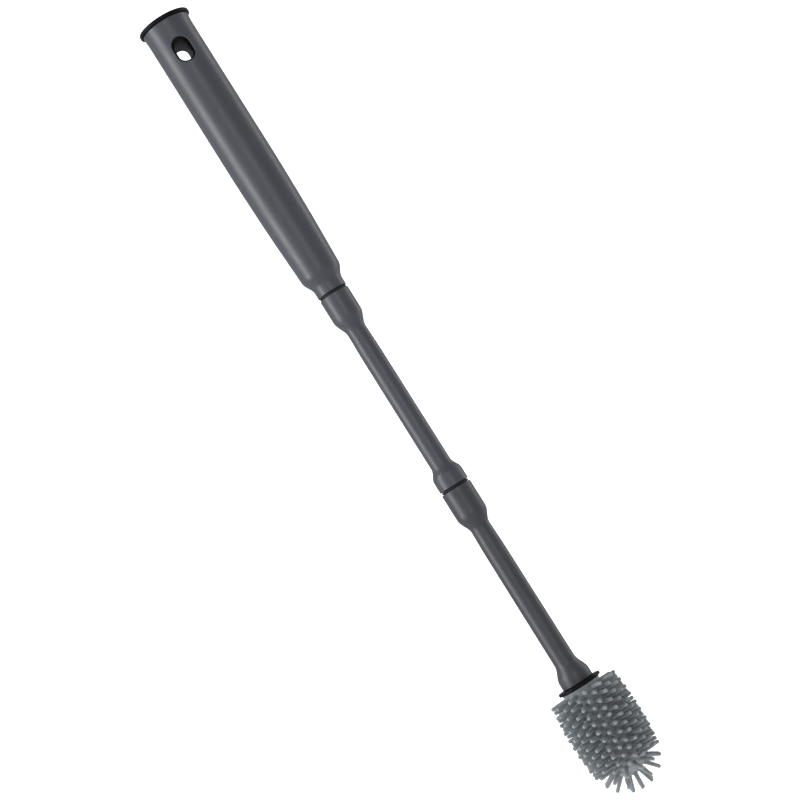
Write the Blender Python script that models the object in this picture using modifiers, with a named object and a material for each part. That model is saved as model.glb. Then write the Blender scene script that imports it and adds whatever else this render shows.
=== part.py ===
"""A toilet brush with a three-piece screw-together handle: a grip, two rods and a bristle head.

Run it with: blender --background --python part.py
Units are metres and +Z is up. The brush hangs head down, with the origin at the lowest bristle tip.
Each screwed joint has a threaded spigot on the upper piece, a socket in the lower piece's collar, and a
seal ring between their faces.
"""

import math

import bmesh
import bpy
from mathutils import Matrix, Vector

MM = 0.001

# Driving dimensions, in metres. Heights are measured up from the lowest bristle tip.
TOTAL_HEIGHT = 550.0 * MM
GAP = 0.3 * MM  # left between pieces that touch
SEGMENTS = 24  # round the turned shapes

# Grip and end cap
GRIP_RADIUS = 15.4 * MM
GRIP_LOWER_RADIUS = 13.3 * MM
GRIP_WALL = 2.2 * MM
GRIP_MOUTH_FLARE = 0.4 * MM  # how much wider the grip is at its open end
GRIP_MOUTH_HEIGHT = 5.0 * MM
GRIP_WAIST = 0.65 * MM  # how much slimmer the grip is halfway down its taper
GRIP_TAPER_TOP = 441.0 * MM
GRIP_SHOULDER_TOP = 367.0 * MM
GRIP_NECK_TOP = 356.9 * MM
GRIP_BOTTOM = 352.4 * MM
GRIP_CORE_RADIUS = 2.6 * MM  # the cavity's narrow end, which runs on into the spigot
GRIP_CORE_FLOOR = 3.0 * MM  # solid plastic between the cavity and the spigot's tip
CAP_RADIUS = 17.3 * MM
CAP_THICKNESS = 2.4 * MM
CAP_EDGE = 0.5 * MM
CAP_PLUG_LENGTH = 40.0 * MM
CAP_WALL = 1.8 * MM
HOLE_CENTRE = 525.8 * MM
HOLE_WIDTH = 11.8 * MM
HOLE_LENGTH = 17.0 * MM
HOLE_END_STEPS = 7  # sides of each round end of the hole
LINING_STEP = 1.2 * MM  # how far the cap's lining stands inside the hole in the grip

# Rods. A shaft's rows are (radius, distance below the mouth), where it starts and where it has thickened.
COLLAR_RADIUS = 9.75 * MM
UPPER_COLLAR_LENGTH = 14.6 * MM
UPPER_SHAFT = ((6.3 * MM, 26.7 * MM), (6.65 * MM, 42.7 * MM))
UPPER_SHAFT_END_RADIUS = 6.75 * MM
UPPER_FLARE_TOP = 15.4 * MM  # above the upper rod's lower face
UPPER_FLARE_BOTTOM = 7.4 * MM
LOWER_COLLAR_RADIUS = 9.9 * MM
LOWER_COLLAR_LENGTH = 17.2 * MM
LOWER_SHAFT = ((6.35 * MM, 28.2 * MM), (6.75 * MM, 43.6 * MM))
LOWER_SHAFT_END_RADIUS = 6.9 * MM
FOOT_RADIUS = 10.25 * MM  # the lower rod where it meets the head
FOOT_TOP = 15.5 * MM  # above the lower rod's lower face
FOOT_BOTTOM = 4.5 * MM
SEAL_SPACE = 1.8 * MM  # between the faces of two screwed pieces
SOCKET_DEPTH = 16.5 * MM
SOCKET_LEAD_IN = 0.5 * MM
ROD_BORE_RADIUS = 3.75 * MM
MIDDLE_JOINT = 213.1 * MM  # the upper rod's lower face
LOWER_JOINT = 73.9 * MM  # the lower rod's lower face

# Threads, which are coarse and right-handed
PITCH = 4.0 * MM
SPIGOT_LENGTH = 15.0 * MM
SPIGOT_CHAMFER = 0.6 * MM
THREAD_ROOT_RADIUS = 5.1 * MM
THREAD_CREST_RADIUS = 6.3 * MM
THREAD_ROOT_WIDTH = 2.4 * MM
THREAD_CREST_WIDTH = 1.2 * MM
THREAD_FOOT = 0.6 * MM  # how deep a ridge's foot stands inside its spigot
THREAD_CLEARANCE = 0.35 * MM
THREAD_TURNS = 2.75
THREAD_START = 13.1 * MM  # from the spigot's shoulder down to the middle of the first turn
THREAD_STEPS = 12  # in each turn
THREAD_PHASE = math.radians(7.5)  # turns every thread so that its corners miss the corners of its piece
GROOVE_EARLY_TURNS = 0.25  # how far a socket's groove runs on past the thread, inwards and outwards
GROOVE_LATE_TURNS = 0.75

# Seal rings
SEAL_THICKNESS = 1.2 * MM
SEAL_RADIUS = 9.1 * MM
SEAL_BORE_RADIUS = 6.8 * MM

# Brush head
FLANGE_RADIUS = 14.2 * MM
FLANGE_THICKNESS = 1.8 * MM
FLANGE_EDGE = 0.4 * MM
CORE_RADIUS = 10.1 * MM
CORE_BORE_RADIUS = 4.0 * MM
CORE_BORE_POINT = 2.0 * MM  # the length of the bore's pointed end
SLEEVE_RADIUS = 12.0 * MM
SLEEVE_RIM_RADIUS = 12.6 * MM
SLEEVE_RIM_HEIGHT = 1.2 * MM
SLEEVE_RIM_SLOPE = 0.5 * MM
SLEEVE_WALL = 1.6 * MM
DOME_CENTRE = 22.4 * MM  # also the length of the bristle that points straight down
DOME_STEPS = 5
COLUMN_COUNT = 24  # every second column stands half a pitch lower, and is one bristle shorter
COLUMN_TOP = 68.0 * MM
COLUMN_PITCH = 5.36 * MM
COLUMN_BRISTLES = 10
HEAD_TURN = math.radians(-8.0)  # where the first column stands when the head is screwed tight
BRISTLE_BASE_RADIUS = 1.45 * MM
BRISTLE_TIP_RADIUS = 1.25 * MM
BRISTLE_SIDES = 5
BRISTLE_ROOT_DEPTH = 0.8 * MM  # how far a bristle starts inside the sleeve
BARREL_RADIUS = 24.25 * MM  # the tips at the head's widest
BARREL_SLACK = 1.5 * MM  # how much narrower the tips are at the ends of a column
# Bristles on the dome: degrees from straight down, how many there are, and the first one's column
DOME_RINGS = ((64.5, 12, 1), (43.0, 6, 0), (21.5, 6, 2), (0.0, 1, 0))

# Plain plastic colours, as linear red, green and blue
SLATE = (0.043, 0.047, 0.058)
BLACK = (0.0045, 0.0045, 0.005)
RUBBER = (0.012, 0.012, 0.013)
SOFT_GREY = (0.20, 0.223, 0.236)


def clear_scene():
    for old in list(bpy.data.objects):
        bpy.data.objects.remove(old, do_unlink=True)


def new_collection(name, hidden=False):
    collection = bpy.data.collections.new(name)
    collection.hide_render = hidden
    bpy.context.scene.collection.children.link(collection)
    return collection


def new_material(name, colour, roughness, metallic=0.0):
    material = bpy.data.materials.new(name)
    material.use_nodes = True
    shader = material.node_tree.nodes["Principled BSDF"]
    shader.inputs["Base Color"].default_value = (*colour, 1.0)
    shader.inputs["Roughness"].default_value = roughness
    shader.inputs["Metallic"].default_value = metallic
    return material


def object_from(bm, name, collection):
    """Ends a bmesh as an object in the collection. A helper is drawn as wire and left out of renders."""
    mesh = bpy.data.meshes.new(name)
    bm.to_mesh(mesh)
    bm.free()
    made = bpy.data.objects.new(name, mesh)
    collection.objects.link(made)
    if collection.hide_render:
        made.hide_render = True
        made.display_type = "WIRE"
    return made


def turned(name, profile, collection, closed=False, segments=SEGMENTS):
    """Turns a profile of (radius, height) points round Z. Its outer side runs from top to bottom."""
    bm = bmesh.new()
    points = [bm.verts.new((radius, 0.0, height)) for radius, height in profile]
    ends = points[1:] + points[:1] if closed else points[1:]
    for start, end in zip(points, ends):
        bm.edges.new((start, end))
    made = object_from(bm, name, collection)
    screw = made.modifiers.new("turn", "SCREW")
    screw.axis = "Z"
    screw.steps = segments
    screw.render_steps = segments
    screw.use_merge_vertices = True
    screw.merge_threshold = 0.01 * MM
    screw.use_smooth_shade = True
    return made


def blend(top, bottom, steps=5):
    """Points of a soft S-shaped change of radius between two (radius, height) points, both included."""
    points = []
    for step in range(steps + 1):
        share = step / steps
        eased = 0.5 - 0.5 * math.cos(math.pi * share)
        radius = top[0] + (bottom[0] - top[0]) * eased
        points.append((radius, top[1] + (bottom[1] - top[1]) * share))
    return points


def arc(centre_height, radius, start_degrees, end_degrees):
    """Points of an arc round a centre on Z. Angles are from straight down, towards +X."""
    points = []
    for step in range(DOME_STEPS + 1):
        angle = math.radians(start_degrees + (end_degrees - start_degrees) * step / DOME_STEPS)
        points.append((radius * math.sin(angle), centre_height - radius * math.cos(angle)))
    return points


def boolean(target, other, operation):
    modifier = target.modifiers.new(f"{operation.lower()} {other.name}", "BOOLEAN")
    modifier.operation = operation
    modifier.object = other
    return modifier


def helix_ridge(name, shoulder, clearance, early_turns, late_turns, helpers):
    """The ridge of a right-handed thread under a shoulder, closed at both ends.

    With no clearance it is the male ridge. With some, it cuts the groove, and runs on past both ends.
    """
    inner = THREAD_ROOT_RADIUS - THREAD_FOOT
    outer = THREAD_CREST_RADIUS + clearance
    root_half = THREAD_ROOT_WIDTH / 2 + clearance
    crest_half = THREAD_CREST_WIDTH / 2 + clearance
    flank = (root_half - crest_half) / (THREAD_CREST_RADIUS - THREAD_ROOT_RADIUS)
    inner_half = crest_half + flank * (outer - inner)
    turns = THREAD_TURNS + early_turns + late_turns
    steps = round(turns * THREAD_STEPS)
    start_height = shoulder - THREAD_START - early_turns * PITCH
    start_turn = Matrix.Rotation(THREAD_PHASE - 2 * math.pi * early_turns, 4, "Z")
    section = ((inner, -inner_half), (outer, -crest_half), (outer, crest_half), (inner, inner_half))

    bm = bmesh.new()
    corners = [bm.verts.new(start_turn @ Vector((r, 0.0, start_height + z))) for r, z in section]
    loop = [bm.edges.new((corners[i], corners[(i + 1) % 4])) for i in range(4)]
    bmesh.ops.spin(
        bm,
        geom=corners + loop,
        cent=(0.0, 0.0, 0.0),
        axis=(0.0, 0.0, 1.0),
        dvec=(0.0, 0.0, PITCH / THREAD_STEPS),
        angle=2 * math.pi * steps / THREAD_STEPS,
        steps=steps,
    )
    bmesh.ops.holes_fill(bm, edges=bm.edges[:], sides=4)
    bmesh.ops.recalc_face_normals(bm, faces=bm.faces[:])
    return object_from(bm, name, helpers)


def add_spigot_thread(piece, shoulder, helpers):
    ridge = helix_ridge(f"{piece.name}_ridge", shoulder, 0.0, 0.0, 0.0, helpers)
    boolean(piece, ridge, "UNION")


def cut_socket_thread(piece, shoulder, helpers):
    """Cuts the groove that takes the thread under the shoulder, out through the socket's mouth."""
    name = f"{piece.name}_groove"
    groove = helix_ridge(
        name, shoulder, THREAD_CLEARANCE, GROOVE_EARLY_TURNS, GROOVE_LATE_TURNS, helpers
    )
    boolean(piece, groove, "DIFFERENCE")


def spigot_profile(shoulder, tip_inner_radius):
    """The spigot's outside below its shoulder, and its tip as far as the bore."""
    tip = shoulder - SPIGOT_LENGTH
    return [
        (THREAD_ROOT_RADIUS, shoulder),
        (THREAD_ROOT_RADIUS, tip + SPIGOT_CHAMFER),
        (THREAD_ROOT_RADIUS - SPIGOT_CHAMFER, tip),
        (tip_inner_radius, tip),
    ]


def socket_profile(mouth, floor_inner_radius):
    """The socket's inside, from its floor up to its mouth."""
    radius = THREAD_ROOT_RADIUS + THREAD_CLEARANCE
    return [
        (floor_inner_radius, mouth - SOCKET_DEPTH),
        (radius, mouth - SOCKET_DEPTH),
        (radius, mouth - SOCKET_LEAD_IN),
        (radius + SOCKET_LEAD_IN, mouth),
    ]


def slot_cutter(name, width, length, helpers):
    """A bar with round ends, lying along Y through both sides of the grip, for the hanging hole."""
    curve = bpy.data.curves.new(name, "CURVE")
    curve.dimensions = "2D"
    curve.fill_mode = "BOTH"
    curve.extrude = 2 * GRIP_RADIUS
    spline = curve.splines.new("POLY")
    radius = width / 2
    straight = length / 2 - radius
    outline = []
    for end in (0, 1):
        for step in range(HOLE_END_STEPS + 1):
            angle = math.pi * (end + step / HOLE_END_STEPS)
            lift = straight if end == 0 else -straight
            outline.append((radius * math.cos(angle), lift + radius * math.sin(angle)))
    spline.points.add(len(outline) - 1)
    for point, (x, y) in zip(spline.points, outline):
        point.co = (x, y, 0.0, 1.0)
    spline.use_cyclic_u = True
    guide = bpy.data.objects.new(name, curve)
    helpers.objects.link(guide)
    guide.rotation_euler = (math.pi / 2, 0.0, 0.0)
    guide.location = (0.0, 0.0, HOLE_CENTRE)
    return mesh_of_curve(guide, name, helpers)


def mesh_of_curve(guide, name, collection):
    """Replaces a curve object with a mesh object of the same shape, its caps welded."""
    bpy.context.view_layer.update()
    evaluated = guide.evaluated_get(bpy.context.evaluated_depsgraph_get())
    mesh = bpy.data.meshes.new_from_object(evaluated)
    world = guide.matrix_world.copy()
    bpy.data.objects.remove(guide, do_unlink=True)
    bm = bmesh.new()
    bm.from_mesh(mesh)
    bpy.data.meshes.remove(mesh)
    bmesh.ops.remove_doubles(bm, verts=bm.verts[:], dist=0.001 * MM)
    bmesh.ops.recalc_face_normals(bm, faces=bm.faces[:])
    made = object_from(bm, name, collection)
    made.matrix_world = world
    return made


def make_grip(pieces, helpers, hole):
    """The hollow grip: open at the top, with its cavity running down into the threaded spigot."""
    top = TOTAL_HEIGHT - CAP_THICKNESS - GAP
    inner = GRIP_RADIUS - GRIP_WALL
    lower_inner = GRIP_LOWER_RADIUS - GRIP_WALL
    floor = GRIP_BOTTOM - SPIGOT_LENGTH + GRIP_CORE_FLOOR
    cavity = [
        (0.0, floor),
        (GRIP_CORE_RADIUS, floor),
        (GRIP_CORE_RADIUS, GRIP_NECK_TOP),
        (lower_inner, GRIP_SHOULDER_TOP),
        (inner, GRIP_TAPER_TOP),
        (inner, top),
    ]
    outside = [
        (GRIP_RADIUS + GRIP_MOUTH_FLARE, top),
        (GRIP_RADIUS, top - GRIP_MOUTH_HEIGHT),
        (GRIP_RADIUS, GRIP_TAPER_TOP),
        (GRIP_RADIUS - GRIP_WAIST, (GRIP_TAPER_TOP + GRIP_SHOULDER_TOP) / 2),
    ]
    shoulder = blend((GRIP_LOWER_RADIUS, GRIP_SHOULDER_TOP), (COLLAR_RADIUS, GRIP_NECK_TOP))
    face = [(COLLAR_RADIUS, GRIP_BOTTOM)]
    spigot = spigot_profile(GRIP_BOTTOM, 0.0)
    grip = turned("grip", cavity + outside + shoulder + face + spigot, pieces)
    add_spigot_thread(grip, GRIP_BOTTOM, helpers)
    boolean(grip, hole, "DIFFERENCE")
    return grip


def make_end_cap(pieces, helpers):
    """The cap: a rim over the grip's end, and a hollow plug that carries the hanging hole's lining."""
    top = TOTAL_HEIGHT
    rim_bottom = top - CAP_THICKNESS
    plug_radius = GRIP_RADIUS - GRIP_WALL - GAP
    plug_bottom = rim_bottom - CAP_PLUG_LENGTH
    profile = [
        (0.0, top),
        (CAP_RADIUS - CAP_EDGE, top),
        (CAP_RADIUS, top - CAP_EDGE),
        (CAP_RADIUS, rim_bottom + CAP_EDGE),
        (CAP_RADIUS - CAP_EDGE, rim_bottom),
        (plug_radius, rim_bottom),
        (plug_radius, plug_bottom),
        (0.0, plug_bottom),
    ]
    cap = turned("end_cap", profile, pieces)
    past_the_end = plug_bottom - CAP_WALL
    bore = [
        (0.0, rim_bottom - CAP_WALL),
        (plug_radius - CAP_WALL, rim_bottom - CAP_WALL),
        (plug_radius - CAP_WALL, past_the_end),
        (0.0, past_the_end),
    ]
    hollow = turned("cap_hollow", bore, helpers)
    width = HOLE_WIDTH - 2 * LINING_STEP
    length = HOLE_LENGTH - 2 * LINING_STEP
    passage = slot_cutter("lined_hole", width, length, helpers)
    lining = slot_cutter("hole_lining", width + 2 * CAP_WALL, length + 2 * CAP_WALL, helpers)
    boolean(hollow, lining, "DIFFERENCE")
    boolean(cap, hollow, "DIFFERENCE")
    boolean(cap, passage, "DIFFERENCE")
    return cap


def rod_profile(mouth, collar, collar_bottom, shaft, end, face):
    """A rod's closed profile: collar, shoulder, shaft, lower end and spigot, then bore and socket."""
    spigot_tip = face - SPIGOT_LENGTH
    outside = [(collar, mouth), (collar, collar_bottom)]
    shoulder = blend((collar, collar_bottom), shaft[0])[1:]
    spigot = spigot_profile(face, ROD_BORE_RADIUS)[:-1]
    bore = [(ROD_BORE_RADIUS, spigot_tip)]
    socket = socket_profile(mouth, ROD_BORE_RADIUS)
    return outside + shoulder + shaft[1:-1] + end + spigot + bore + socket


def make_upper_rod(pieces, helpers):
    mouth = GRIP_BOTTOM - SEAL_SPACE
    shaft = [(radius, mouth - below) for radius, below in UPPER_SHAFT]
    shaft.append((UPPER_SHAFT_END_RADIUS, MIDDLE_JOINT + UPPER_FLARE_TOP))
    end = blend(shaft[-1], (COLLAR_RADIUS, MIDDLE_JOINT + UPPER_FLARE_BOTTOM))
    end.append((COLLAR_RADIUS, MIDDLE_JOINT))
    collar_bottom = mouth - UPPER_COLLAR_LENGTH
    profile = rod_profile(mouth, COLLAR_RADIUS, collar_bottom, shaft, end, MIDDLE_JOINT)
    rod = turned("upper_rod", profile, pieces, closed=True)
    cut_socket_thread(rod, GRIP_BOTTOM, helpers)
    add_spigot_thread(rod, MIDDLE_JOINT, helpers)
    return rod


def make_lower_rod(pieces, helpers):
    mouth = MIDDLE_JOINT - SEAL_SPACE
    shaft = [(radius, mouth - below) for radius, below in LOWER_SHAFT]
    shaft.append((LOWER_SHAFT_END_RADIUS, LOWER_JOINT + FOOT_TOP))
    end = blend(shaft[-1], (FOOT_RADIUS, LOWER_JOINT + FOOT_BOTTOM))
    end.append((FOOT_RADIUS, LOWER_JOINT))
    collar_bottom = mouth - LOWER_COLLAR_LENGTH
    profile = rod_profile(mouth, LOWER_COLLAR_RADIUS, collar_bottom, shaft, end, LOWER_JOINT)
    rod = turned("lower_rod", profile, pieces, closed=True)
    cut_socket_thread(rod, MIDDLE_JOINT, helpers)
    add_spigot_thread(rod, LOWER_JOINT, helpers)
    return rod


def make_seal_ring(name, top, pieces):
    bottom = top - SEAL_THICKNESS
    profile = [
        (SEAL_BORE_RADIUS, top),
        (SEAL_RADIUS, top),
        (SEAL_RADIUS, bottom),
        (SEAL_BORE_RADIUS, bottom),
    ]
    return turned(name, profile, pieces, closed=True)


def make_head_core(pieces, helpers):
    """The head's rigid core: a flange with a seal ring's recess, a socket, and a round-ended post."""
    top = LOWER_JOINT - GAP
    recess_floor = top - SEAL_THICKNESS - GAP
    flange_bottom = top - FLANGE_THICKNESS
    inside = [
        (0.0, DOME_CENTRE - CORE_BORE_POINT),
        (CORE_BORE_RADIUS, DOME_CENTRE),
        *socket_profile(recess_floor, CORE_BORE_RADIUS),
        (SEAL_RADIUS + GAP, recess_floor),
        (SEAL_RADIUS + GAP, top),
    ]
    outside = [
        (FLANGE_RADIUS - FLANGE_EDGE, top),
        (FLANGE_RADIUS, top - FLANGE_EDGE),
        (FLANGE_RADIUS, flange_bottom + FLANGE_EDGE),
        (FLANGE_RADIUS - FLANGE_EDGE, flange_bottom),
        (CORE_RADIUS, flange_bottom),
        *arc(DOME_CENTRE, CORE_RADIUS, 90.0, 0.0),
    ]
    core = turned("head_core", inside + outside, pieces)
    cut_socket_thread(core, LOWER_JOINT, helpers)
    return core


def bristle_places():
    """(root, tip) of every bristle: columns down the sleeve, then rings round its dome."""
    places = []
    root = SLEEVE_RADIUS - BRISTLE_ROOT_DEPTH
    column_middle = COLUMN_TOP - COLUMN_PITCH * (COLUMN_BRISTLES - 1) / 2
    for column in range(COLUMN_COUNT):
        turn = HEAD_TURN + 2 * math.pi * column / COLUMN_COUNT
        way = Vector((math.cos(turn), math.sin(turn), 0.0))
        lowered = column % 2
        for row in range(COLUMN_BRISTLES - lowered):
            height = COLUMN_TOP - COLUMN_PITCH * (row + lowered / 2)
            off_middle = (height - column_middle) / (COLUMN_TOP - column_middle)
            tip = BARREL_RADIUS - BARREL_SLACK * off_middle**2
            middle = Vector((0.0, 0.0, height))
            places.append((middle + way * root, middle + way * tip))
    centre = Vector((0.0, 0.0, DOME_CENTRE))
    for degrees, count, first_column in DOME_RINGS:
        lean = math.radians(degrees)
        for number in range(count):
            turn = HEAD_TURN + 2 * math.pi * (number / count + first_column / COLUMN_COUNT)
            outwards = Vector((math.cos(turn), math.sin(turn), 0.0)) * math.sin(lean)
            way = outwards + Vector((0.0, 0.0, -math.cos(lean)))
            places.append((centre + way * root, centre + way * DOME_CENTRE))
    return places


def make_bristles(helpers):
    """Every bristle as a tapered peg, in one helper object that joins the sleeve."""
    bm = bmesh.new()
    for root, tip in bristle_places():
        along = tip - root
        turn = along.to_track_quat("Z", "Y").to_matrix().to_4x4()
        bmesh.ops.create_cone(
            bm,
            cap_ends=True,
            cap_tris=False,
            segments=BRISTLE_SIDES,
            radius1=BRISTLE_BASE_RADIUS,
            radius2=BRISTLE_TIP_RADIUS,
            depth=along.length,
            matrix=Matrix.Translation((root + tip) / 2) @ turn,
        )
    return object_from(bm, "bristles", helpers)


def make_bristle_sleeve(pieces, helpers):
    """The soft sleeve over the core, moulded in one with its bristles."""
    top = LOWER_JOINT - GAP - FLANGE_THICKNESS - GAP
    inner = SLEEVE_RADIUS - SLEEVE_WALL
    rim_bottom = top - SLEEVE_RIM_HEIGHT
    inside = [*arc(DOME_CENTRE, inner, 0.0, 90.0), (inner, top)]
    outside = [
        (SLEEVE_RIM_RADIUS, top),
        (SLEEVE_RIM_RADIUS, rim_bottom),
        (SLEEVE_RADIUS, rim_bottom - SLEEVE_RIM_SLOPE),
        *arc(DOME_CENTRE, SLEEVE_RADIUS, 90.0, 0.0),
    ]
    sleeve = turned("bristle_sleeve", inside + outside, pieces)
    boolean(sleeve, make_bristles(helpers), "UNION")
    return sleeve


def main():
    clear_scene()
    pieces = new_collection("toilet_brush")
    helpers = new_collection("cutters", hidden=True)
    slate = new_material("slate_plastic", SLATE, 0.42)
    black = new_material("black_plastic", BLACK, 0.45)
    rubber = new_material("seal_rubber", RUBBER, 0.7)
    soft_grey = new_material("grey_soft_plastic", SOFT_GREY, 0.55)

    hole = slot_cutter("hanging_hole", HOLE_WIDTH, HOLE_LENGTH, helpers)
    finished = {
        make_grip(pieces, helpers, hole): slate,
        make_end_cap(pieces, helpers): black,
        make_seal_ring("upper_seal_ring", GRIP_BOTTOM - GAP, pieces): rubber,
        make_upper_rod(pieces, helpers): slate,
        make_seal_ring("middle_seal_ring", MIDDLE_JOINT - GAP, pieces): rubber,
        make_lower_rod(pieces, helpers): slate,
        make_seal_ring("lower_seal_ring", LOWER_JOINT - GAP, pieces): rubber,
        make_head_core(pieces, helpers): black,
        make_bristle_sleeve(pieces, helpers): soft_grey,
    }
    for piece, material in finished.items():
        piece.data.materials.append(material)


main()
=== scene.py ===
"""The looks of a toilet brush with a screw-together handle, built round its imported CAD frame.

Lengths are in metres. Heights come from the boxes of the CAD nodes.
"""

import math
import random

import bmesh
import bpy
from mathutils import Matrix, Vector


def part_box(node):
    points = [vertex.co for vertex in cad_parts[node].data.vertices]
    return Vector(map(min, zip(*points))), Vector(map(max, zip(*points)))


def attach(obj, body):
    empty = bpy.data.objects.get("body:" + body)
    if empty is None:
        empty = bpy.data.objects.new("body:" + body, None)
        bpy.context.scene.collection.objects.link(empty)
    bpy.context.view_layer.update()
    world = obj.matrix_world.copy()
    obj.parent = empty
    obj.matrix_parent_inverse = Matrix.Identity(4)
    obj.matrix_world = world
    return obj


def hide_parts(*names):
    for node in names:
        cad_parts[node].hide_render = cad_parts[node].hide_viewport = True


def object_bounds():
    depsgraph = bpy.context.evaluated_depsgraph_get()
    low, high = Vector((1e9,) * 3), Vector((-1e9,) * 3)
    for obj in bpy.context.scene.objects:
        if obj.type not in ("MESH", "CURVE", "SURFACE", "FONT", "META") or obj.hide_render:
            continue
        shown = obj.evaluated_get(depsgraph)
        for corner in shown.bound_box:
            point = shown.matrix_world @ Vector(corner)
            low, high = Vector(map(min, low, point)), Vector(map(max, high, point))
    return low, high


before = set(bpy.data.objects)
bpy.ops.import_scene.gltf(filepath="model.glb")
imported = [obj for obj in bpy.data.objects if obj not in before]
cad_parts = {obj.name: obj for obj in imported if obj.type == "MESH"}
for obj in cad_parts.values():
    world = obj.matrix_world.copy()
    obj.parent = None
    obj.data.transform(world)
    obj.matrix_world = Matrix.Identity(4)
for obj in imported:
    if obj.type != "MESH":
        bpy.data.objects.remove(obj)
cad_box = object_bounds()

MM = 0.001
SEGMENTS = 128
GAP = 0.3 * MM
MOST_OF_EDGE = 0.48  # the share of an edge that one rounded corner may use
SHARP_DEGREES = 40.0  # faces that meet at a sharper angle keep a hard edge
SOFT_SHARP_DEGREES = 60.0
SEED = 7
rng = random.Random(SEED)


# Shapes -------------------------------------------------------------------------------


def finished(bm, name, sharp_degrees=SHARP_DEGREES):
    """A smooth-shaded object in the scene from a bmesh, which is used up."""
    mesh = bpy.data.meshes.new(name)
    bm.to_mesh(mesh)
    bm.free()
    mesh.shade_smooth()
    mesh.set_sharp_from_angle(angle=math.radians(sharp_degrees))
    made = bpy.data.objects.new(name, mesh)
    bpy.context.scene.collection.objects.link(made)
    return made


def rounded(corners, steps=6):
    """A profile with rounded corners, from (radius, height, rounding) corners."""
    points = []
    for index, (radius, height, rounding) in enumerate(corners):
        here = Vector((radius, height))
        if rounding <= 0.0 or index in (0, len(corners) - 1):
            points.append(here)
            continue
        before = Vector(corners[index - 1][:2]) - here
        after = Vector(corners[index + 1][:2]) - here
        reach = min(rounding, MOST_OF_EDGE * before.length, MOST_OF_EDGE * after.length)
        start = here + before.normalized() * reach
        end = here + after.normalized() * reach
        for step in range(steps + 1):
            share = step / steps
            points.append(start.lerp(here, share).lerp(here.lerp(end, share), share))
    return [(point.x, point.y) for point in points]


def blend(top, bottom, steps=14):
    """Corners of a soft S-shaped change of radius between two (radius, height) points."""
    corners = []
    for step in range(steps + 1):
        share = step / steps
        eased = 0.5 - 0.5 * math.cos(math.pi * share)
        height = top[1] + (bottom[1] - top[1]) * share
        corners.append((top[0] + (bottom[0] - top[0]) * eased, height, 0.0))
    return corners


def divided(profile, longest):
    """The profile with its long straight runs divided, so that a cut through it stays smooth."""
    points = [profile[0]]
    for start, end in zip(profile, profile[1:]):
        pieces = max(1, math.ceil(math.dist(start, end) / longest))
        for piece in range(1, pieces + 1):
            share = piece / pieces
            points.append(
                (start[0] + (end[0] - start[0]) * share, start[1] + (end[1] - start[1]) * share)
            )
    return points


def ring_of(bm, radius, height, segments):
    """A ring of vertices round the axis, or a single one on it."""
    if radius < 0.001 * MM:
        return [bm.verts.new((0.0, 0.0, height))]
    made = []
    for number in range(segments):
        turn = 2 * math.pi * number / segments
        made.append(bm.verts.new((radius * math.cos(turn), radius * math.sin(turn), height)))
    return made


def join_rings(bm, first, second):
    """Faces between two rings, either of which may be a single point."""
    count = max(len(first), len(second))
    for number in range(count):
        following = (number + 1) % count
        if len(first) == 1:
            bm.faces.new((first[0], second[number], second[following]))
        elif len(second) == 1:
            bm.faces.new((first[following], first[number], second[0]))
        else:
            bm.faces.new((first[following], first[number], second[number], second[following]))


def turned_bmesh(profile, closed=False, segments=SEGMENTS):
    bm = bmesh.new()
    rings = [ring_of(bm, radius, height, segments) for radius, height in profile]
    followers = rings[1:] + ([rings[0]] if closed else [])
    for first, second in zip(rings, followers):
        join_rings(bm, first, second)
    bmesh.ops.recalc_face_normals(bm, faces=bm.faces[:])
    return bm


def turned(name, profile, closed=False, segments=SEGMENTS):
    return finished(turned_bmesh(profile, closed, segments), name)


def boolean(target, cutter, operation="DIFFERENCE"):
    """Cuts or joins the target with another mesh, which is used up."""
    modifier = target.modifiers.new("cut", "BOOLEAN")
    modifier.operation = operation
    modifier.object = cutter
    bpy.context.view_layer.update()
    evaluated = target.evaluated_get(bpy.context.evaluated_depsgraph_get())
    mesh = bpy.data.meshes.new_from_object(evaluated)
    target.modifiers.clear()
    old = target.data
    target.data = mesh
    bpy.data.meshes.remove(old)
    bpy.data.objects.remove(cutter, do_unlink=True)
    mesh.name = target.name
    mesh.shade_smooth()
    mesh.set_sharp_from_angle(angle=math.radians(SHARP_DEGREES))


# The screw threads: coarse and right-handed, on spigots above their sockets --------

PITCH = 4.0 * MM
ROOT_RADIUS = 5.1 * MM
CREST_RADIUS = 6.3 * MM
ROOT_WIDTH = 2.4 * MM
CREST_WIDTH = 1.2 * MM
THREAD_CLEARANCE = 0.35 * MM
THREAD_TURNS = 2.75
THREAD_START = 13.1 * MM
THREAD_PHASE = math.radians(7.5)
THREAD_SUNK = 0.6 * MM  # how deep the ridge starts under the spigot's surface
THREAD_SHARP_DEGREES = 30.0
FADE_START = 0.25  # the ridge's height at its very end, as a share of the whole
FADE_TURNS = 0.2
GROOVE_EARLY = 0.25  # the turns that a groove runs past its ridge at each end
GROOVE_LATE = 0.75
SPIGOT_LENGTH = 15.0 * MM
SPIGOT_CHAMFER = 0.7 * MM
SOCKET_DEPTH = 16.5 * MM
SOCKET_CHAMFER = 0.5 * MM
BORE_RADIUS = 3.75 * MM
RING_SPACE = 1.8 * MM
FACE_LIFT = 0.02 * MM  # keeps the outer edge of a lower face off the face's own plane


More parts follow.
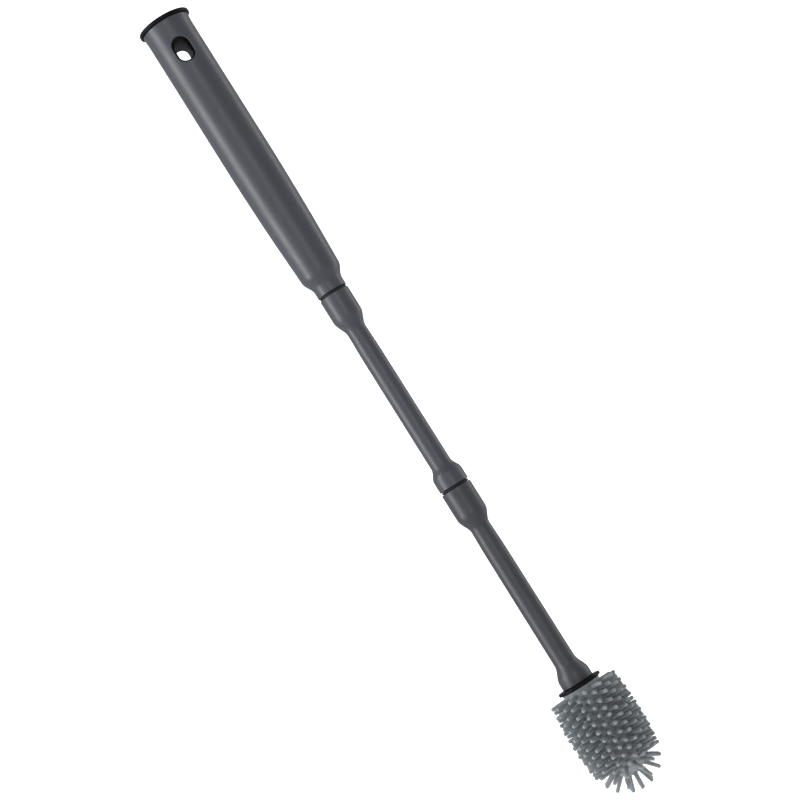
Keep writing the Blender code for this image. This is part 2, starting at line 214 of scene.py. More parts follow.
def thread_sweep(name, shoulder, clearance=0.0, early=0.0, late=0.0, steps=36):
    """A helical ridge of trapezoid section.

    A plain ridge fades out at its ends. One with a clearance, which cuts a groove, doesn't.
    """
    inner = ROOT_RADIUS - THREAD_SUNK
    outer = CREST_RADIUS + clearance
    flank = (ROOT_WIDTH - CREST_WIDTH) / 2 / (CREST_RADIUS - ROOT_RADIUS)
    crest_half = CREST_WIDTH / 2 + clearance
    inner_half = crest_half + flank * (outer - inner)
    turns = THREAD_TURNS + early + late
    count = round(turns * steps)
    bm = bmesh.new()
    sections = []
    for step in range(count + 1):
        turned_by = step / steps - early
        turn = THREAD_PHASE + 2 * math.pi * turned_by
        height = shoulder - THREAD_START + PITCH * turned_by
        fade = 1.0
        if clearance == 0.0:
            fade = min(1.0, FADE_START + min(step, count - step) / (FADE_TURNS * steps))
        top = inner + (outer - inner) * fade
        way = Vector((math.cos(turn), math.sin(turn), 0.0))
        section = []
        for radius, lift in (
            (inner, -inner_half),
            (top, -crest_half),
            (top, crest_half),
            (inner, inner_half),
        ):
            section.append(bm.verts.new(way * radius + Vector((0.0, 0.0, height + lift))))
        sections.append(section)
    for first, second in zip(sections, sections[1:]):
        for corner in range(4):
            following = (corner + 1) % 4
            bm.faces.new((first[corner], first[following], second[following], second[corner]))
    bm.faces.new(sections[0])
    bm.faces.new(sections[-1])
    bmesh.ops.recalc_face_normals(bm, faces=bm.faces[:])
    return finished(bm, name, THREAD_SHARP_DEGREES)


def spigot(shoulder, bore):
    """Corners of the spigot below its shoulder."""
    tip = shoulder - SPIGOT_LENGTH
    return [
        (ROOT_RADIUS, shoulder, 0.25 * MM),
        (ROOT_RADIUS, tip + SPIGOT_CHAMFER, 0.3 * MM),
        (ROOT_RADIUS - SPIGOT_CHAMFER, tip, 0.3 * MM),
        (bore, tip, 0.3 * MM),
    ]


def socket(mouth, floor_radius):
    """Corners of the socket, from its floor up to its mouth."""
    radius = ROOT_RADIUS + THREAD_CLEARANCE
    return [
        (floor_radius, mouth - SOCKET_DEPTH, 0.0),
        (radius, mouth - SOCKET_DEPTH, 0.3 * MM),
        (radius, mouth - SOCKET_CHAMFER, 0.1 * MM),
        (radius + SOCKET_CHAMFER, mouth, 0.1 * MM),
    ]


def add_thread(piece, shoulder):
    ridge = thread_sweep(f"{piece.name}_thread", shoulder)
    boolean(piece, ridge, "UNION")


def cut_thread(piece, shoulder):
    boolean(piece, thread_sweep("groove", shoulder, THREAD_CLEARANCE, GROOVE_EARLY, GROOVE_LATE))


# Materials ----------------------------------------------------------------------------


class Surface:
    """A Principled material with helpers for its procedural detail, in object coordinates."""

    def __init__(self, name, colour, roughness, specular=0.5):
        self.material = bpy.data.materials.new(name)
        self.material.use_nodes = True
        self.tree = self.material.node_tree
        self.shader = self.tree.nodes["Principled BSDF"]
        self.shader.inputs["Base Color"].default_value = (*colour, 1.0)
        self.shader.inputs["Roughness"].default_value = roughness
        self.shader.inputs["Specular IOR Level"].default_value = specular
        self.coordinates = self.tree.nodes.new("ShaderNodeTexCoord").outputs["Object"]
        self.colour = colour
        self.bump = None

    def link(self, source, target):
        self.tree.links.new(source, target)

    def noise(self, scale, stretch=(1.0, 1.0, 1.0), detail=3.0, roughness=0.5, offset=0.0):
        mapping = self.tree.nodes.new("ShaderNodeMapping")
        mapping.inputs["Scale"].default_value = stretch
        mapping.inputs["Location"].default_value = (offset, offset, offset)
        self.link(self.coordinates, mapping.inputs["Vector"])
        noise = self.tree.nodes.new("ShaderNodeTexNoise")
        noise.inputs["Scale"].default_value = scale
        noise.inputs["Detail"].default_value = detail
        noise.inputs["Roughness"].default_value = roughness
        self.link(mapping.outputs["Vector"], noise.inputs["Vector"])
        return noise.outputs["Fac"]

    def ramp(self, value, low, high, low_value=0.0, high_value=1.0):
        node = self.tree.nodes.new("ShaderNodeMapRange")
        node.inputs["From Min"].default_value = low
        node.inputs["From Max"].default_value = high
        node.inputs["To Min"].default_value = low_value
        node.inputs["To Max"].default_value = high_value
        self.link(value, node.inputs["Value"])
        return node.outputs["Result"]

    def math(self, operation, first, second=None, number=None):
        node = self.tree.nodes.new("ShaderNodeMath")
        node.operation = operation
        self.link(first, node.inputs[0])
        if second is not None:
            self.link(second, node.inputs[1])
        elif number is not None:
            node.inputs[1].default_value = number
        return node.outputs["Value"]

    def mix(self, factor, first, second):
        """A colour between two, each a socket or an (r, g, b)."""
        node = self.tree.nodes.new("ShaderNodeMix")
        node.data_type = "RGBA"
        self.link(factor, node.inputs["Factor"])
        for side, value in (("A", first), ("B", second)):
            target = [i for i in node.inputs if i.name == side and i.type == "RGBA"][0]
            if isinstance(value, bpy.types.NodeSocket):
                self.link(value, target)
            else:
                target.default_value = (*value, 1.0)
        return [o for o in node.outputs if o.type == "RGBA"][0]

    def height(self, value, distance, strength=1.0):
        """Adds a bump. Later ones are laid over earlier ones."""
        node = self.tree.nodes.new("ShaderNodeBump")
        node.inputs["Distance"].default_value = distance
        node.inputs["Strength"].default_value = strength
        self.link(value, node.inputs["Height"])
        if self.bump is not None:
            self.link(self.bump, node.inputs["Normal"])
        self.bump = node.outputs["Normal"]
        self.link(self.bump, self.shader.inputs["Normal"])

    def paint(self, colour):
        self.link(colour, self.shader.inputs["Base Color"])

    def roughen(self, value):
        self.link(value, self.shader.inputs["Roughness"])


def scaled(colour, factor):
    return tuple(channel * factor for channel in colour)


def moulded_plastic(name, colour, roughness, scuff_strength=1.0, specular=0.5):
    """Satin moulded plastic: fine spark-eroded grain, faint clouding, scuffs along the handle."""
    surface = Surface(name, colour, roughness, specular)
    cloud = surface.noise(scale=45.0, stretch=(1.0, 1.0, 0.45), detail=3.0)
    clouded = surface.mix(
        surface.ramp(cloud, 0.3, 0.7), scaled(colour, 0.93), scaled(colour, 1.07)
    )
    scuffs = surface.noise(
        scale=420.0, stretch=(1.0, 1.0, 0.09), detail=5.0, roughness=0.62, offset=3.1
    )
    patches = surface.noise(
        scale=38.0, stretch=(1.0, 1.0, 0.6), detail=2.0, roughness=0.5, offset=8.3
    )
    worn = surface.math(
        "MULTIPLY", surface.ramp(scuffs, 0.58, 0.72), surface.ramp(patches, 0.45, 0.7)
    )
    worn = surface.math("MULTIPLY", worn, number=scuff_strength)
    surface.paint(surface.mix(worn, clouded, scaled(colour, 1.45)))
    grain = surface.noise(scale=150.0, detail=4.0)
    tone = surface.ramp(grain, 0.3, 0.7, roughness - 0.03, roughness + 0.04)
    rub = surface.math("MULTIPLY", worn, number=0.12)
    surface.roughen(surface.math("ADD", tone, rub))
    surface.height(surface.noise(scale=2600.0, detail=2.0), distance=0.012 * MM, strength=0.55)
    dimples = surface.noise(scale=300.0, detail=2.0, offset=5.0)
    surface.height(dimples, distance=0.02 * MM, strength=0.35)
    surface.height(worn, distance=0.01 * MM, strength=0.4)
    return surface.material


def soft_bristle(name, colour, roughness):
    """Soft moulded plastic: matt, a little see-through, with a fine skin and uneven shade."""
    surface = Surface(name, colour, roughness, specular=0.4)
    surface.shader.inputs["Subsurface Weight"].default_value = 0.12
    surface.shader.inputs["Subsurface Radius"].default_value = (1.0, 0.95, 0.9)
    surface.shader.inputs["Subsurface Scale"].default_value = 1.2 * MM
    surface.shader.inputs["Sheen Weight"].default_value = 0.12
    surface.shader.inputs["Sheen Roughness"].default_value = 0.5
    uneven = surface.noise(scale=260.0, detail=2.0)
    shade = surface.mix(
        surface.ramp(uneven, 0.32, 0.68), scaled(colour, 0.86), scaled(colour, 1.14)
    )
    dust = surface.ramp(surface.noise(scale=1500.0, detail=3.0, offset=2.0), 0.6, 0.8, 0.0, 0.35)
    surface.paint(surface.mix(dust, shade, scaled(colour, 1.5)))
    skin = surface.noise(scale=500.0, detail=3.0)
    surface.roughen(surface.ramp(skin, 0.3, 0.7, roughness - 0.06, roughness + 0.08))
    surface.height(surface.noise(scale=2200.0, detail=3.0), distance=0.02 * MM, strength=0.5)
    dimples = surface.noise(scale=600.0, detail=2.0, offset=4.0)
    surface.height(dimples, distance=0.04 * MM, strength=0.35)
    return surface.material


# The near-black rings at the joints, drawn for the dark line at each seam: pale flecks, uneven
# roughness and a fine bump.
def seal_rubber(name, colour):
    surface = Surface(name, colour, roughness=0.7, specular=0.3)
    pale_flecks = surface.ramp(surface.noise(scale=700.0, detail=4.0), 0.45, 0.75)
    surface.paint(surface.mix(pale_flecks, colour, scaled(colour, 1.8)))
    tone = surface.noise(scale=900.0)
    surface.roughen(surface.ramp(tone, 0.3, 0.7, low_value=0.62, high_value=0.8))
    surface.height(surface.noise(scale=3000.0, detail=2.0), distance=0.015 * MM, strength=0.6)
    return surface.material


SLATE = (0.043, 0.047, 0.058)
# The lower rod's slate is darker: partly its own tone, partly painted shade for the weaker light
# at the lower end.
DARKER_SHADED_SLATE = (0.034, 0.036, 0.044)
BLACK = (0.0045, 0.0045, 0.005)
# Near black, for the rings drawn in the dark line at each joint.
NEAR_BLACK = (0.012, 0.012, 0.013)
SOFT_GREY = (0.20, 0.223, 0.236)

slate = moulded_plastic("slate_plastic", SLATE, roughness=0.40)
# A darker copy of the slate plastic for the lower rod, partly painted shade.
slate_dark_shaded = moulded_plastic("slate_plastic_lower_shaded", DARKER_SHADED_SLATE, roughness=0.42)
black = moulded_plastic("black_plastic", BLACK, roughness=0.48, scuff_strength=0.4, specular=0.1)
dark_ring = seal_rubber("seal_rubber", NEAR_BLACK)
grey_soft = soft_bristle("grey_soft_plastic", SOFT_GREY, roughness=0.55)


def place(piece, body, material, slot, *nodes):
    """Gives a visible piece its material, the body it rides on and the CAD nodes it replaces."""
    piece.data.materials.clear()
    piece.data.materials.append(material)
    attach(piece, body)
    if nodes:
        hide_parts(*nodes)
    return piece


# The grip and its end cap -------------------------------------------------------------

GRIP_WALL = 2.2 * MM
HOLE_WIDTH = 11.8 * MM
HOLE_LENGTH = 17.0 * MM
HOLE_BELOW_TOP = 24.2 * MM
HOLE_EDGE = 0.7 * MM
LINING_STEP = 1.2 * MM  # how far the lining stands inside the hole in the grip
LINING_ROUNDING = 0.4 * MM
LINING_RECESS = 0.05 * MM  # how far the lining's ends stay under the plug's surface
LINING_SHOULDER = 0.5 * MM  # how far down the lining's outer edge goes
CAP_WALL = 1.8 * MM
CAP_DIMPLE_DEPTH = 0.35 * MM  # the small round dimple in the middle of the cap's end
CAP_DIMPLE_FLOOR = 1.1 * MM
CAP_DIMPLE_RADIUS = 1.5 * MM
GRIP_LIP = 0.4 * MM  # how far the grip's upper end flares past its barrel
GRIP_LIP_LENGTH = 6.0 * MM
GRIP_LOWER_RADIUS = 13.3 * MM
GRIP_BULGE = 0.65 * MM  # the radius lost halfway down the taper
GRIP_NECK_RADIUS = 9.75 * MM
GRIP_CORE_RADIUS = 2.6 * MM  # the cavity's narrow end, which runs on into the spigot
GRIP_CORE_FLOOR = 3.0 * MM  # solid plastic between the cavity and the spigot's tip
TAPER_TOP = 88.6 * MM  # this and the next two are heights above the grip's lower face
SHOULDER_TOP = 14.6 * MM
NECK_TOP = 4.5 * MM
CUTTER_REACH = 2.0 * MM  # how far the hole's cutter stands out of the wall

cap_low, cap_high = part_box("end_cap")
_, grip_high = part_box("grip")
upper_ring_low, upper_ring_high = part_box("upper_seal_ring")
middle_ring_low, middle_ring_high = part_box("middle_seal_ring")
lower_ring_low, lower_ring_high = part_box("lower_seal_ring")
sleeve_low, sleeve_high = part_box("bristle_sleeve")
_, core_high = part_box("head_core")

grip_face = upper_ring_high.z + GAP
middle_face = middle_ring_high.z + GAP
lower_face = lower_ring_high.z + GAP
grip_radius = grip_high.x - GRIP_LIP
hole_height = cap_high.z - HOLE_BELOW_TOP


def slot_outline(width, length, steps=20):
    """Points (x, lift) round a slot with round ends."""
    radius = width / 2
    straight = length / 2 - radius
    points = []
    for end in (0, 1):
        for step in range(steps + 1):
            angle = math.pi * (end + step / steps)
            lift = straight if end == 0 else -straight
            points.append((radius * math.cos(angle), lift + radius * math.sin(angle)))
    return points


def slot_ring(bm, grow, depth, side, wall_radius):
    """One outline of the hole, as far under the curved wall as depth.

    side is -1 at the front and 1 behind.
    """
    ring = []
    for x, lift in slot_outline(HOLE_WIDTH + 2 * grow, HOLE_LENGTH + 2 * grow):
        reach = math.sqrt(max((wall_radius - depth) ** 2 - x * x, 0.0))
        ring.append(bm.verts.new((x, side * reach, hole_height + lift)))
    return ring


def hole_cutter(name, wall_radius, edge, step_in=0.0, steps=6):
    """A bar through both walls, which opens out at each end so that it leaves a rounded edge."""
    bm = bmesh.new()
    rows = [(edge - step_in, -CUTTER_REACH)]
    for step in range(steps + 1):
        angle = math.pi / 2 * step / steps
        grow = edge * (1 - math.sin(angle)) - step_in
        rows.append((grow, edge * (1 - math.cos(angle)) + 0.005 * MM))
    front = [slot_ring(bm, grow, depth, -1, wall_radius) for grow, depth in rows]
    back = [slot_ring(bm, grow, depth, 1, wall_radius) for grow, depth in reversed(rows)]
    rings = front + back
    for first, second in zip(rings, rings[1:]):
        join_rings(bm, first, second)
    bm.faces.new(rings[0])
    bm.faces.new(rings[-1])
    bmesh.ops.recalc_face_normals(bm, faces=bm.faces[:])
    return finished(bm, name)


def make_grip():
    top = grip_high.z
    inner = grip_radius - GRIP_WALL
    shoulder_top = grip_face + SHOULDER_TOP
    neck_top = grip_face + NECK_TOP
    taper_top = grip_face + TAPER_TOP
    cavity_floor = grip_face - SPIGOT_LENGTH + GRIP_CORE_FLOOR
    cavity = [
        (0.0, cavity_floor, 0.0),
        (GRIP_CORE_RADIUS, cavity_floor, 0.0),
        (GRIP_CORE_RADIUS, neck_top, 0.0),
        (GRIP_LOWER_RADIUS - GRIP_WALL, shoulder_top + 1.0 * MM, 2.0 * MM),
        (inner, taper_top, 4.0 * MM),
        (inner, top, 0.0),
    ]
    outside = [
        (grip_radius + GRIP_LIP, top, 0.2 * MM),
        (grip_radius + 0.25 * MM, top - 2.0 * MM, 1.0 * MM),
        (grip_radius, top - GRIP_LIP_LENGTH, 2.0 * MM),
        (grip_radius, taper_top, 12.0 * MM),
        (grip_radius - GRIP_BULGE, (taper_top + shoulder_top) / 2, 14.0 * MM),
    ]
    shoulder = blend((GRIP_LOWER_RADIUS, shoulder_top), (GRIP_NECK_RADIUS, neck_top))
    end = [(GRIP_NECK_RADIUS, grip_face + FACE_LIFT, 0.35 * MM)]
    corners = cavity + outside + shoulder + end + spigot(grip_face, 0.0)
    profile = divided(rounded(corners), 3.0 * MM)
    grip = turned("grip_shell", profile)
    boolean(grip, hole_cutter("hole", grip_radius, HOLE_EDGE))
    add_thread(grip, grip_face)
    return grip


def make_cap():
    """The cap's rim and plug. The plug's wall is cut where the hole's lining passes through it."""
    top = cap_high.z
    rim_bottom = grip_high.z + GAP
    rim = cap_high.x
    plug = grip_radius - GRIP_WALL - GAP
    bottom = cap_low.z
    corners = [
        (0.0, top - CAP_DIMPLE_DEPTH, 0.0),
        (CAP_DIMPLE_FLOOR, top - CAP_DIMPLE_DEPTH, 0.2 * MM),
        (CAP_DIMPLE_RADIUS, top, 0.2 * MM),
        (rim, top, 0.8 * MM),
        (rim, rim_bottom, 0.5 * MM),
        (plug, rim_bottom, 0.0),
        (plug, bottom, 0.4 * MM),
        (plug - CAP_WALL, bottom, 0.4 * MM),
        (plug - CAP_WALL, rim_bottom - CAP_WALL, 0.5 * MM),
        (0.0, rim_bottom - CAP_WALL, 0.0),
    ]
    cap = turned("cap_with_plug", divided(rounded(corners), 3.0 * MM))
    boolean(cap, hole_cutter("hole", plug, 0.02 * MM, LINING_STEP))
    return cap


def make_lining(steps=4):
    """The oval tube through the cap's plug that lines the hanging hole."""
    plug = grip_radius - GRIP_WALL - GAP
    bm = bmesh.new()
    bore = -LINING_STEP
    inside = []
    for step in range(steps + 1):
        angle = math.pi / 2 * step / steps
        grow = bore + LINING_ROUNDING * (1 - math.cos(angle))
        inside.append((grow, LINING_RECESS + LINING_ROUNDING * (1 - math.sin(angle))))
    outside = [(bore + CAP_WALL, LINING_RECESS), (bore + CAP_WALL, LINING_SHOULDER)]
    rings = []
    for side in (-1, 1):
        rows = inside + outside
        for grow, depth in rows if side < 0 else reversed(rows):
            rings.append(slot_ring(bm, grow, depth, side, plug))
    for first, second in zip(rings, rings[1:] + rings[:1]):
        join_rings(bm, first, second)
    bmesh.ops.recalc_face_normals(bm, faces=bm.faces[:])
    return finished(bm, "hanging_hole_lining")


place(make_grip(), "grip_body", slate, "slate_plastic", "grip")
place(make_cap(), "grip_body", black, "black_plastic", "end_cap")
place(make_lining(), "grip_body", black, "black_plastic")


# The rods and the near-black rings at the joints --------------------------------------

RING_BORE_RADIUS = 6.8 * MM
UPPER_COLLAR_RADIUS = 9.75 * MM
UPPER_COLLAR_LENGTH = 14.6 * MM
UPPER_SHAFT = ((6.3 * MM, 26.7 * MM), (6.65 * MM, 42.7 * MM))  # (radius, depth below the mouth)
UPPER_SHAFT_END = 6.75 * MM
FLARE_RADIUS = 9.75 * MM  # the upper rod's lower end
FLARE_TOP = 15.4 * MM  # this and the next are heights above the rod's lower face
FLARE_BOTTOM = 7.4 * MM
LOWER_COLLAR_RADIUS = 9.9 * MM
LOWER_COLLAR_LENGTH = 17.2 * MM
LOWER_SHAFT = ((6.35 * MM, 28.2 * MM), (6.75 * MM, 43.6 * MM))
LOWER_SHAFT_END = 6.9 * MM
FOOT_RADIUS = 10.25 * MM  # the lower rod's lower end
FOOT_TOP = 15.5 * MM
FOOT_BOTTOM = 4.5 * MM


def make_ring(name, low, high):
    """A near-black ring at a joint, drawn for the dark line at each seam, with rounded edges,
    which fills its CAD box.
    """
    corners = [
        (RING_BORE_RADIUS, (low.z + high.z) / 2, 0.0),
        (RING_BORE_RADIUS, high.z, 0.35 * MM),
        (high.x, high.z, 0.45 * MM),
        (high.x, low.z, 0.45 * MM),
        (RING_BORE_RADIUS, low.z, 0.35 * MM),
    ]
    return turned(name, rounded(corners), closed=True)


def make_rod(name, mouth, collar, collar_length, shaft, end, face):
    """A rod: socketed collar, shoulder, slim shaft, lower end, face and spigot."""
    collar_bottom = mouth - collar_length
    outside = [(collar, mouth, 0.5 * MM), (collar, collar_bottom + 0.5 * MM, 2.0 * MM)]
    shoulder = blend((collar, collar_bottom), shaft[0])
    middle = [(radius, height, 6.0 * MM) for radius, height in shaft[1:-1]]
    last = [(end[-1][0], face + FACE_LIFT, 0.5 * MM)]
    inside = socket(mouth, BORE_RADIUS)
    start = [(0.5 * (collar + ROOT_RADIUS), mouth, 0.0)]
    corners = start + outside + shoulder + middle + end + last
    corners += spigot(face, BORE_RADIUS)[:-1]
    corners += [(BORE_RADIUS, face - SPIGOT_LENGTH, 0.3 * MM)] + inside
    rod = turned(name, divided(rounded(corners), 6.0 * MM), closed=True)
    cut_thread(rod, mouth + RING_SPACE)
    add_thread(rod, face)
    return rod


upper_mouth = grip_face - RING_SPACE
middle_mouth = middle_face - RING_SPACE
upper_shaft = [(radius, upper_mouth - depth) for radius, depth in UPPER_SHAFT]
upper_shaft.append((UPPER_SHAFT_END, middle_face + FLARE_TOP))
lower_shaft = [(radius, middle_mouth - depth) for radius, depth in LOWER_SHAFT]
lower_shaft.append((LOWER_SHAFT_END, lower_face + FOOT_TOP))
upper_rod = make_rod(
    "upper_rod_shell",
    upper_mouth,
    UPPER_COLLAR_RADIUS,
    UPPER_COLLAR_LENGTH,
    upper_shaft,
    blend(upper_shaft[-1], (FLARE_RADIUS, middle_face + FLARE_BOTTOM)),
    middle_face,
)
lower_rod = make_rod(
    "lower_rod_shell",
    middle_mouth,
    LOWER_COLLAR_RADIUS,
    LOWER_COLLAR_LENGTH,
    lower_shaft,
    blend(lower_shaft[-1], (FOOT_RADIUS, lower_face + FOOT_BOTTOM)),
    lower_face,
)
place(upper_rod, "upper_rod_body", slate, "slate_plastic", "upper_rod")
place(lower_rod, "lower_rod_body", slate_dark_shaded, "slate_plastic", "lower_rod")
# A near-black ring in each joint, drawn for the dark line at the seam.
for ring_name, ring_body, ring_low, ring_high in (
    ("upper_seal_ring", "upper_ring_body", upper_ring_low, upper_ring_high),
    ("middle_seal_ring", "middle_ring_body", middle_ring_low, middle_ring_high),
    ("lower_seal_ring", "lower_ring_body", lower_ring_low, lower_ring_high),
):
    ring = make_ring(f"{ring_name}_rubber", ring_low, ring_high)
    place(ring, ring_body, dark_ring, "seal_rubber", ring_name)


# The head: rigid core, soft sleeve and bristles ---------------------------------------

DOME_CENTRE = 22.4 * MM
CORE_RADIUS = 10.1 * MM
CORE_BORE = 4.0 * MM
CORE_BORE_POINT = 2.0 * MM  # the length of the bore's pointed end
SLEEVE_RADIUS = 12.0 * MM
SLEEVE_RIM = 12.6 * MM
SLEEVE_RIM_HEIGHT = 1.2 * MM
SLEEVE_RIM_SLOPE = 0.5 * MM
SLEEVE_WALL = 1.6 * MM
COLUMNS = 24  # every second one stands half a pitch lower, and is one bristle shorter
COLUMN_PITCH = 5.36 * MM
COLUMN_BRISTLES = 10
TOP_ROW = 3.5 * MM  # below the sleeve's top
# Each ring's degrees from straight down, its bristle count, and its first bristle's column.
DOME_RINGS = ((64.5, 12, 1), (43.0, 6, 0), (21.5, 6, 2), (0.0, 1, 0))
HEAD_TURN = math.radians(-8.0)
BRISTLE_BASE = 1.36 * MM
BRISTLE_TIP = 1.2 * MM
BRISTLE_ROOT_DEPTH = 0.8 * MM  # how deep a bristle starts in the sleeve's wall
# (distance from the root, added radius) down the flared foot of a bristle.
BRISTLE_FLARE = ((0.0, 0.25 * MM), (1.0 * MM, 0.16 * MM), (1.7 * MM, 0.0))
BRISTLE_MIDDLE = 0.55  # where its radius is halfway to the tip's, as a share of its length
BRISTLE_LEAN = 1.0 * MM  # how far a tip may stand off its bristle's own line
BRISTLE_SHORTER = 0.35 * MM
TIP_VARIATION = (0.95, 1.04)
TIP_ROUNDNESS = 0.8
TIP_STEPS = 5
BARREL_SLACK = 1.5 * MM  # how much further in the tips are at both ends of a column

dome_centre = sleeve_low.z + DOME_CENTRE
barrel_radius = sleeve_high.x


def arc(centre, radius, start, end, steps=14):
    """Corners of an arc round a centre on the axis. Angles are from straight down."""
    corners = []
    for step in range(steps + 1):
        angle = math.radians(start + (end - start) * step / steps)
        corners.append((radius * math.sin(angle), centre - radius * math.cos(angle), 0.0))
    return corners


def make_core():
    top = core_high.z
    rim = core_high.x
    recess = lower_ring_low.z - GAP
    flange_bottom = sleeve_high.z + GAP
    seat = lower_ring_high.x + GAP
    inside = [(0.0, dome_centre - CORE_BORE_POINT, 0.0), (CORE_BORE, dome_centre, 0.0)]
    inside += socket(recess, CORE_BORE)
    inside += [(seat, recess, 0.2 * MM), (seat, top, 0.3 * MM)]
    outside = [
        (rim, top, 0.45 * MM),
        (rim, flange_bottom, 0.45 * MM),
        (CORE_RADIUS, flange_bottom, 0.3 * MM),
    ]
    corners = inside + outside + arc(dome_centre, CORE_RADIUS, 90.0, 0.0)
    core = turned("flange_and_core", divided(rounded(corners), 6.0 * MM))
    cut_thread(core, lower_face)
    return core


def bristle(bm, root, tip, sides=10):
    """One soft bristle: a flared root, a slight taper, a round end and a small random lean."""
    along = tip - root
    length = along.length
    way = along / length
    across = way.orthogonal().normalized()
    other = way.cross(across)
    lean_turn = rng.uniform(0.0, 2 * math.pi)
    lean = across * math.cos(lean_turn) + other * math.sin(lean_turn)
    lean *= rng.uniform(0.0, BRISTLE_LEAN)
    length -= rng.uniform(0.0, BRISTLE_SHORTER)
    start = rng.uniform(0.0, 2 * math.pi)
    tip_radius = BRISTLE_TIP * rng.uniform(*TIP_VARIATION)
    stations = [(distance, BRISTLE_BASE + added) for distance, added in BRISTLE_FLARE]
    stations.append((BRISTLE_MIDDLE * length, 0.5 * (BRISTLE_BASE + tip_radius)))
    tip_height = tip_radius * TIP_ROUNDNESS
    for step in range(TIP_STEPS):
        angle = math.pi / 2 * step / TIP_STEPS
        distance = length - tip_height + tip_height * math.sin(angle)
        stations.append((distance, tip_radius * math.cos(angle)))
    rings = []
    for distance, radius in stations:
        middle = root + way * distance + lean * (distance / length) ** 2
        ring = []
        for side in range(sides):
            turn = start + 2 * math.pi * side / sides
            spoke = across * math.cos(turn) + other * math.sin(turn)
            ring.append(bm.verts.new(middle + spoke * radius))
        rings.append(ring)
    rings.append([bm.verts.new(root + way * length + lean)])
    for first, second in zip(rings, rings[1:]):
        join_rings(bm, first, second)
    bm.faces.new(rings[0])


def bristle_places():
    """(root, tip) of every bristle: columns down the sleeve, then rings round its dome."""
    places = []
    root = SLEEVE_RADIUS - BRISTLE_ROOT_DEPTH
    top_row = sleeve_high.z - TOP_ROW
    half = COLUMN_PITCH * (COLUMN_BRISTLES - 1) / 2
    for column in range(COLUMNS):
        turn = HEAD_TURN + 2 * math.pi * column / COLUMNS
        way = Vector((math.cos(turn), math.sin(turn), 0.0))
        lowered = column % 2
        for row in range(COLUMN_BRISTLES - lowered):
            height = top_row - COLUMN_PITCH * (row + lowered / 2)
            off_middle = (height - (top_row - half)) / half
            reach = barrel_radius - BARREL_SLACK * off_middle**2
            middle = Vector((0.0, 0.0, height))
            places.append((middle + way * root, middle + way * reach))
    centre = Vector((0.0, 0.0, dome_centre))
    for degrees, count, first_column in DOME_RINGS:
        lean = math.radians(degrees)
        for number in range(count):
            turn = HEAD_TURN + 2 * math.pi * (number / count + first_column / COLUMNS)
            outwards = Vector((math.cos(turn), math.sin(turn), 0.0)) * math.sin(lean)
            way = outwards + Vector((0.0, 0.0, -math.cos(lean)))
            places.append((centre + way * root, centre + way * DOME_CENTRE))
    return places


def make_sleeve():
    top = sleeve_high.z
    inner = SLEEVE_RADIUS - SLEEVE_WALL
    inside = arc(dome_centre, inner, 0.0, 90.0) + [(inner, top, 0.0)]
    outside = [
        (SLEEVE_RIM, top, 0.5 * MM),
        (SLEEVE_RIM, top - SLEEVE_RIM_HEIGHT, 0.5 * MM),
        (SLEEVE_RADIUS, top - SLEEVE_RIM_HEIGHT - SLEEVE_RIM_SLOPE, 0.4 * MM),
    ]
    corners = inside + outside + arc(dome_centre, SLEEVE_RADIUS, 90.0, 0.0)
    return turned("soft_sleeve", divided(rounded(corners), 6.0 * MM))


def make_bristles():
    bm = bmesh.new()
    for root, tip in bristle_places():
        bristle(bm, root, tip)
    bmesh.ops.recalc_face_normals(bm, faces=bm.faces[:])
    return finished(bm, "bristles", SOFT_SHARP_DEGREES)


place(make_core(), "head_body", black, "black_plastic", "head_core")
place(make_sleeve(), "head_body", grey_soft, "grey_soft_plastic", "bristle_sleeve")
place(make_bristles(), "head_body", grey_soft, "grey_soft_plastic")


# The floor, the light and the camera --------------------------------------------------

SWEEP_REACH = 9.0  # to each side, and towards the camera
SWEEP_FLOOR = -0.9
SWEEP_BEND = 0.8
SWEEP_BACK = 2.4
SWEEP_TOP = 6.0
SWEEP_GLOW = 0.62
WORLD_STRENGTH = 0.44


def make_sweep(steps=24):
    """A pale floor that curves up into a backdrop behind the brush."""
    bend_start = SWEEP_BACK - SWEEP_BEND
    outline = [(-SWEEP_REACH, SWEEP_FLOOR), (bend_start, SWEEP_FLOOR)]
    for step in range(1, steps + 1):
        angle = math.pi / 2 * step / steps
        lift = SWEEP_BEND * (1 - math.cos(angle))
        outline.append((bend_start + SWEEP_BEND * math.sin(angle), SWEEP_FLOOR + lift))
    outline.append((SWEEP_BACK, SWEEP_TOP))
    bm = bmesh.new()
    rows = []
    for y, z in outline:
        rows.append([bm.verts.new((x, y, z)) for x in (-SWEEP_REACH, SWEEP_REACH)])
    for first, second in zip(rows, rows[1:]):
        bm.faces.new((first[0], first[1], second[1], second[0]))
    return finished(bm, "studio_sweep", SOFT_SHARP_DEGREES)


def pale_paper():
    surface = Surface("pale_paper", (0.93, 0.93, 0.93), roughness=0.9, specular=0.1)
    tone = surface.ramp(surface.noise(scale=1.5, detail=2.0), 0.3, 0.7)
    surface.paint(surface.mix(tone, (0.92, 0.92, 0.92), (0.94, 0.94, 0.94)))
    surface.height(surface.noise(scale=600.0, detail=3.0), distance=0.05 * MM, strength=0.2)
    surface.shader.inputs["Emission Color"].default_value = (1.0, 1.0, 1.0, 1.0)
    surface.shader.inputs["Emission Strength"].default_value = SWEEP_GLOW
    return surface.material


sweep = make_sweep()
sweep.data.materials.append(pale_paper())
sweep.visible_glossy = False

world = bpy.data.worlds.new("studio")
world.use_nodes = True
world.node_tree.nodes["Background"].inputs["Color"].default_value = (1.0, 1.0, 1.0, 1.0)
world.node_tree.nodes["Background"].inputs["Strength"].default_value = WORLD_STRENGTH
bpy.context.scene.world = world
bpy.context.scene.view_settings.view_transform = "Standard"

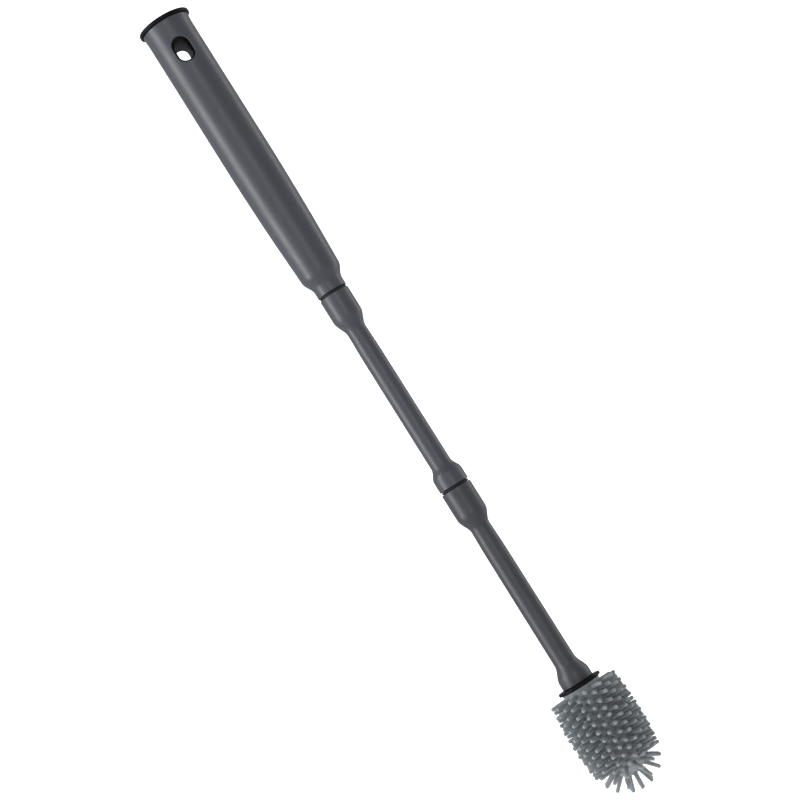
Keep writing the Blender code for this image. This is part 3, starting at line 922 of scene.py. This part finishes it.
middle_z = (cad_box[0].z + cad_box[1].z) / 2
VIEW_AZIMUTH = math.radians(-8.0)


def soft_light(name, degrees_from_camera, distance, lift, width, height, power):
    """A rectangular soft box at an angle round from the camera, facing the brush."""
    turn = VIEW_AZIMUTH + math.radians(degrees_from_camera)
    away = Vector((math.sin(turn), -math.cos(turn), 0.0))
    data = bpy.data.lights.new(name, "AREA")
    data.shape = "RECTANGLE"
    data.size = width
    data.size_y = height
    data.energy = power
    light = bpy.data.objects.new(name, data)
    light.location = away * distance + Vector((0.0, 0.0, middle_z + lift))
    facing = Vector((0.0, 0.0, middle_z)) - light.location
    light.rotation_euler = facing.to_track_quat("-Z", "Y").to_euler()
    bpy.context.scene.collection.objects.link(light)


soft_light("key", -68.0, distance=1.3, lift=0.3, width=0.5, height=1.5, power=18.0)
soft_light("rim", 112.0, distance=1.4, lift=0.1, width=0.25, height=1.4, power=5.0)
soft_light("front", 9.0, distance=1.9, lift=0.4, width=0.3, height=1.5, power=5.0)

LEAN = math.radians(32.17)
DISTANCE = 1.31
EYE_HEIGHT = 165.0 * MM  # above the lowest bristle tip
AIM_HEIGHT = 274.5 * MM
AIM_ASIDE = -0.25 * MM
LENS = 97.55
SENSOR_WIDTH = 36.0
camera_data = bpy.data.cameras.new("camera")
camera_data.lens = LENS
camera_data.sensor_width = SENSOR_WIDTH
camera_data.clip_start = 0.01
camera_data.clip_end = 100.0
camera = bpy.data.objects.new("camera", camera_data)
back = Vector((math.sin(VIEW_AZIMUTH), -math.cos(VIEW_AZIMUTH), 0.0))
right = Vector((-back.y, back.x, 0.0))
beside = right * AIM_ASIDE
camera.location = beside + back * DISTANCE + Vector((0.0, 0.0, cad_box[0].z + EYE_HEIGHT))
sight = beside + Vector((0.0, 0.0, cad_box[0].z + AIM_HEIGHT)) - camera.location
level = sight.to_track_quat("-Z", "Y").to_matrix().to_4x4()
camera.rotation_euler = (level @ Matrix.Rotation(-LEAN, 4, "Z")).to_euler()
bpy.context.scene.collection.objects.link(camera)
bpy.context.scene.camera = camera

bpy.context.view_layer.update()
